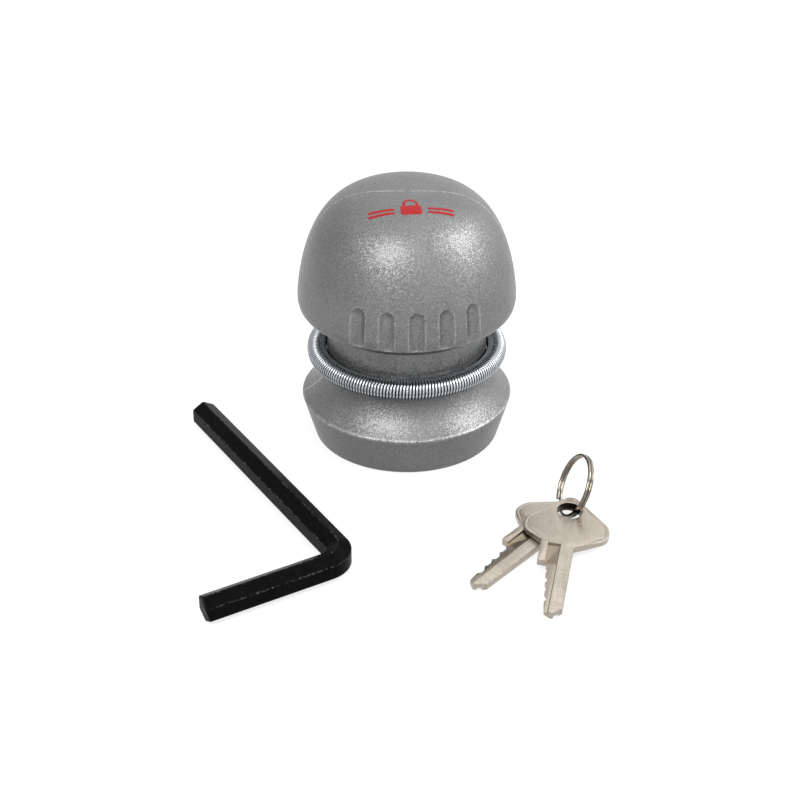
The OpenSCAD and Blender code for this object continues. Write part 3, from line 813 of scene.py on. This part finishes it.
def key_outline():
    """The flat key's outline: bow round the hole at the origin, tab, shoulder and cut blade along -Y."""
    corners = [
        (0, 5.9, 2), (BOW_W, -3.7, 4.5), (BOW_W, -7.8, 3.2), (KEY_RIGHT, -12, 0.6),
        (KEY_RIGHT, -KEY_REACH + 2, 0.4), (0.2, -KEY_REACH, 0.4), (-1.4, -KEY_REACH + 1, 0.2),
    ]
    for k in reversed(range(len(KEY_CUTS))):
        edge = KEY_LEFT + KEY_NARROW * (k + 0.5) / 3.5
        deep = edge + KEY_CUTS[k]
        y = KEY_SHOULDER - 2.2 - k * KEY_PITCH
        corners += [(edge, y - 1.25, 0.5), (deep, y - 0.55, 0.6), (deep, y + 0.45, 0.6)]
    corners += [
        (KEY_LEFT, KEY_SHOULDER - 0.9, 0.5), (KEY_LEFT, KEY_SHOULDER, 0.1), (KEY_TAB, KEY_SHOULDER, 0.3),
        (KEY_TAB, -10.8, 0.6), (-BOW_W, -7.6, 3.2), (-BOW_W, -3.7, 4.5),
    ]
    return densified(rounded(corners, steps=8), 0.5, closed=True)


def lock_key(name, node, body, place):
    """A nickel-plated key with a coined border round the bow, a milled groove and the cuts of its code."""
    outline = key_outline()
    inwards = line_normals(outline, closed=True)
    if np.sum(inwards * (outline.mean(axis=0) - outline)) < 0:
        inwards = -inwards
    bow = 1 / (1 + np.exp((-10.0 - outline[:, 1]) * 3))
    border = (0.12 + 0.74 * bow)[:, None]
    drop = (0.10 + 0.16 * bow)[:, None]
    steps = [(1.0, 0.0), (0.92, 0.42), (0.84, 0.30), (0.30, 0.34), (0.10, 0.55), (0.0, 1.0)]
    rings = [(outline + inwards * border * share, drop * fall) for share, fall in steps]
    layers = [np.hstack([flat, z]) for flat, z in rings]
    layers += [np.hstack([flat, KEY_T - z]) for flat, z in rings[::-1]]
    n = len(outline)
    points = np.vstack(layers)
    faces = grid_faces(len(layers), n) + [list(range(n)), [(len(layers) - 1) * n + k for k in range(n)]]
    # painted shade: 1 on the step of the coined border round the bow, which the key's material darkens
    painted_step_shade = np.repeat([0, 1, 0] + [0] * 6 + [0, 1, 0], n) * np.tile(bow, len(layers))
    key = mesh_piece(name, points, faces, body, LOOKS["nickel_key"], [node],
                     {"line": painted_step_shade})
    tip = -KEY_REACH - 1
    groove, rib_groove = [
        [(left, tip), (right, tip), (right, GROOVE_TOP), (left, GROOVE_TOP)]
        for left, right in ((GROOVE_LEFT, GROOVE_RIGHT), (RIB_LEFT, RIB_RIGHT))]
    shapes = [
        cutter(circle(BOW_HOLE_R, 64), -1, KEY_T + 1),
        cutter(groove, KEY_T - GROOVE_DEPTH, KEY_T + 1),
        cutter(rib_groove, -1, GROOVE_DEPTH),
    ]
    cut_with(key, shapes)
    edges = key.modifiers.new("edges", "BEVEL")
    edges.width = 0.07 * MM
    edges.segments = 2
    edges.limit_method = "ANGLE"
    edges.angle_limit = math.radians(50)
    applied(key)
    spots = np.empty(len(key.data.vertices) * 3)
    key.data.vertices.foreach_get("co", spots)
    key.data.attributes.new("key_spot", "FLOAT_VECTOR", "POINT").data.foreach_set("vector", spots / MM)
    key.data.transform(place)
    key.data.polygons.foreach_set("use_smooth", [True] * len(key.data.polygons))
    key.data.set_sharp_from_angle(angle=math.radians(35))
    return key


def placed(where, turns):
    """The place of a piece that is turned about X, then Y, then Z, and moved."""
    place = Matrix.Translation(Vector(where) * MM)
    for axis, angle in zip("ZYX", turns[::-1]):
        place = place @ Matrix.Rotation(math.radians(angle), 4, axis)
    return place


def split_ring():
    """Two turns of spring wire, one on the other, with a jog where the wire steps across."""
    gap = 0.94 * RING_WIRE_R
    jog, ends = math.radians(26), math.radians(30)
    angle = np.linspace(ends, 4 * np.pi - ends, 300)
    share = np.clip((angle - (2 * np.pi - jog)) / (2 * jog), 0, 1)
    height = -gap + 2 * gap * share * share * (3 - 2 * share)
    path = np.column_stack([RING_R * np.cos(angle), RING_R * np.sin(angle), height])
    points, faces = swept(path, circle(RING_WIRE_R, 16), up=(0, 0, 1))
    return mesh_piece("split_ring", points, faces, "key_ring", LOOKS["nickel_wire"],
                      ["key_ring"], place=placed(RING_PLACE, RING_TURN))


# ---------------------------------------------------------------- stage

def floor():
    """A plain white table top, which doesn't hide the lock from below."""
    look = Look("table_top", Base_Color=(0.20, 0.20, 0.20), Roughness=0.9, Specular_IOR_Level=0.0)
    look.set(look.shader, {"Emission Color": (1, 1, 1), "Emission Strength": 0.76})
    under = look.add("NewGeometry").outputs["Backfacing"]
    clear = look.add("BsdfTransparent").outputs[0]
    one_sided = look.add("MixShader", {0: under, 1: look.shader.outputs[0], 2: clear})
    look.set(look.tree.nodes["Material Output"], {"Surface": one_sided.outputs[0]})
    side, drop = 4000, 0.03
    mesh = bpy.data.meshes.new("table_top")
    corners = [(-side, -side, -drop), (side, -side, -drop), (side, side, -drop), (-side, side, -drop)]
    mesh.from_pydata((np.array(corners) * MM).tolist(), [], [[0, 1, 2, 3]])
    mesh.materials.append(look.material)
    put("table_top", mesh)


def softbox(name, azimuth, elevation, distance, width, height, power, colour=(1, 1, 1)):
    """An area light that faces the lock. Azimuth 0 is the camera's side, and +90 is +X."""
    a, e = math.radians(azimuth), math.radians(elevation)
    away = Vector((math.sin(a) * math.cos(e), -math.cos(a) * math.cos(e), math.sin(e)))
    light = bpy.data.lights.new(name, "AREA")
    light.shape = "RECTANGLE"
    light.size, light.size_y = width, height
    light.energy = power
    light.color = colour
    lamp = put(name, light)
    lamp.location = Vector((0, 0, 0.03)) + away * distance
    lamp.rotation_mode = "QUATERNION"
    lamp.rotation_quaternion = away.to_track_quat("Z", "Y")


def studio():
    """White surroundings that are brighter on the right, two softboxes in front and one behind."""
    world = bpy.data.worlds.new("studio")
    bpy.context.scene.world = world
    world.use_nodes = True
    nodes, links = world.node_tree.nodes, world.node_tree.links
    spot = nodes.new("ShaderNodeTexCoord").outputs["Generated"]
    slope = nodes.new("ShaderNodeVectorMath")
    slope.operation = "DOT_PRODUCT"
    slope.inputs[1].default_value = (0.40, -0.10, 0.08)
    links.new(spot, slope.inputs[0])
    level = nodes.new("ShaderNodeMath")
    level.operation = "ADD"
    level.inputs[1].default_value = 1.0
    links.new(slope.outputs["Value"], level.inputs[0])
    links.new(level.outputs[0], nodes["Background"].inputs["Strength"])
    nodes["Background"].inputs["Color"].default_value = (1.42, 1.42, 1.43, 1)
    warm = (1, 0.985, 0.955)
    softbox("left_softbox", -28, 44, 0.9, 0.40, 0.34, 5.0, warm)
    softbox("right_softbox", 84, 36, 0.9, 0.32, 0.36, 4.8, warm)
    softbox("top_softbox", 180, 75, 1.0, 0.9, 0.5, 1.0)


def camera():
    """The camera stands in front of the lock and looks down at it by about 30 degrees."""
    eye = put("camera", bpy.data.cameras.new("camera"))
    eye.location = (-0.00155, -0.35984, 0.21881)
    eye.rotation_euler = (math.radians(59.477), 0, 0)
    eye.data.lens = 79.23
    eye.data.clip_start, eye.data.clip_end = 0.01, 20
    bpy.context.scene.camera = eye


def finish_carried_nodes():
    """Gives every CAD node that still shows the finish of its material slot."""
    for part in frame["record"]["subparts"]:
        node = frame["nodes"][part["node"]]
        if node.hide_render:
            continue
        node.data.materials.clear()
        node.data.materials.append(LOOKS[part["material_slot"]])


camera()
studio()
floor()
ball_cap()
lower_body()
printed_mark()
garter_spring()
return_spring()
hex_key()
split_ring()
lock_key("front_key", "key_front", "key_front", placed(FRONT_PLACE, FRONT_TURN))
lock_key("rear_key", "key_rear", "key_rear", placed(REAR_PLACE, REAR_TURN))
finish_carried_nodes()
bpy.context.scene.view_settings.view_transform = "Standard"
